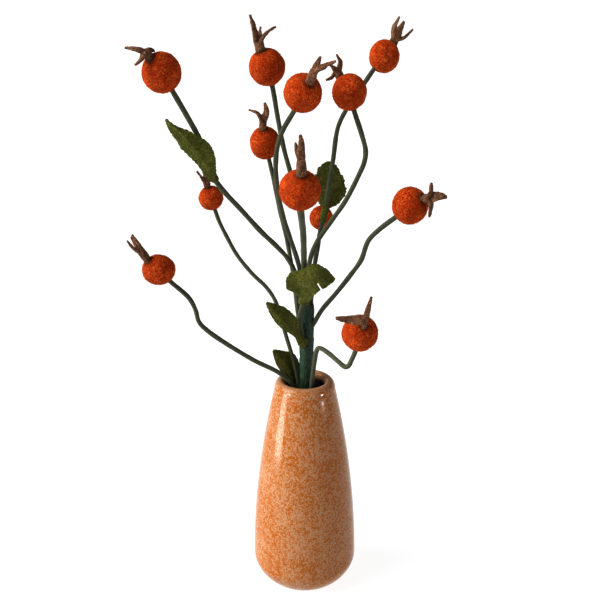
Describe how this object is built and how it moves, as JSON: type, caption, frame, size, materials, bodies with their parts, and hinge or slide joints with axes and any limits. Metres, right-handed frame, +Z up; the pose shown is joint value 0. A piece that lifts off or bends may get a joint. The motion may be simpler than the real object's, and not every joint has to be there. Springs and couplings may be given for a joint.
{
  "type": "felt rose hip sprig in a bud vase",
  "caption": "Handmade sprig of felt rose hips with brown felt calyxes and green felt leaves on covered wires, bound with tape and standing in a tapered speckled glazed bud vase.",
  "frame": {"origin": "centre of the vase's flat foot, on the surface that it stands on", "axes": "+Z up along the vase, +X to the right and -Y towards the viewer in the picture"},
  "size_m": [0.1702, 0.128, 0.3426],
  "materials": {
    "glaze": "glossy pale peach glaze with dense orange speckles, dark glossy inside",
    "orange_felt": "needle-felted wool ball, orange red, matt and hairy",
    "brown_felt": "dark brown wool felt, rolled and cut into pointed sepals",
    "green_felt": "olive green wool felt, cut with a toothed edge",
    "wire_cover": "grey green covered wire, matt",
    "tape": "dark blue green crepe tape wound in a spiral"
  },
  "bodies": {
    "root": {"vase": "glaze", "stem_binding": "tape", "stem_1": "wire_cover", "stem_2": "wire_cover", "stem_3": "wire_cover", "stem_4": "wire_cover", "stem_5": "wire_cover", "stem_6": "wire_cover", "stem_7": "wire_cover", "stem_8": "wire_cover", "stem_9": "wire_cover", "stem_10": "wire_cover", "stem_11": "wire_cover", "stem_12": "wire_cover", "hip_1": "orange_felt", "calyx_1": "brown_felt", "hip_2": "orange_felt", "calyx_2": "brown_felt", "hip_3": "orange_felt", "calyx_3": "brown_felt", "hip_4": "orange_felt", "calyx_4": "brown_felt", "hip_5": "orange_felt", "calyx_5": "brown_felt", "hip_6": "orange_felt", "calyx_6": "brown_felt", "hip_7": "orange_felt", "calyx_7": "brown_felt", "hip_8": "orange_felt", "calyx_8": "brown_felt", "hip_9": "orange_felt", "calyx_9": "brown_felt", "hip_10": "orange_felt", "calyx_10": "brown_felt", "hip_11": "orange_felt", "calyx_11": "brown_felt", "hip_12": "orange_felt", "calyx_12": "brown_felt", "leaf_1": "green_felt", "leaf_2": "green_felt", "leaf_3": "green_felt", "leaf_4": "green_felt", "leaf_5": "green_felt"}
  },
  "joints": []
}
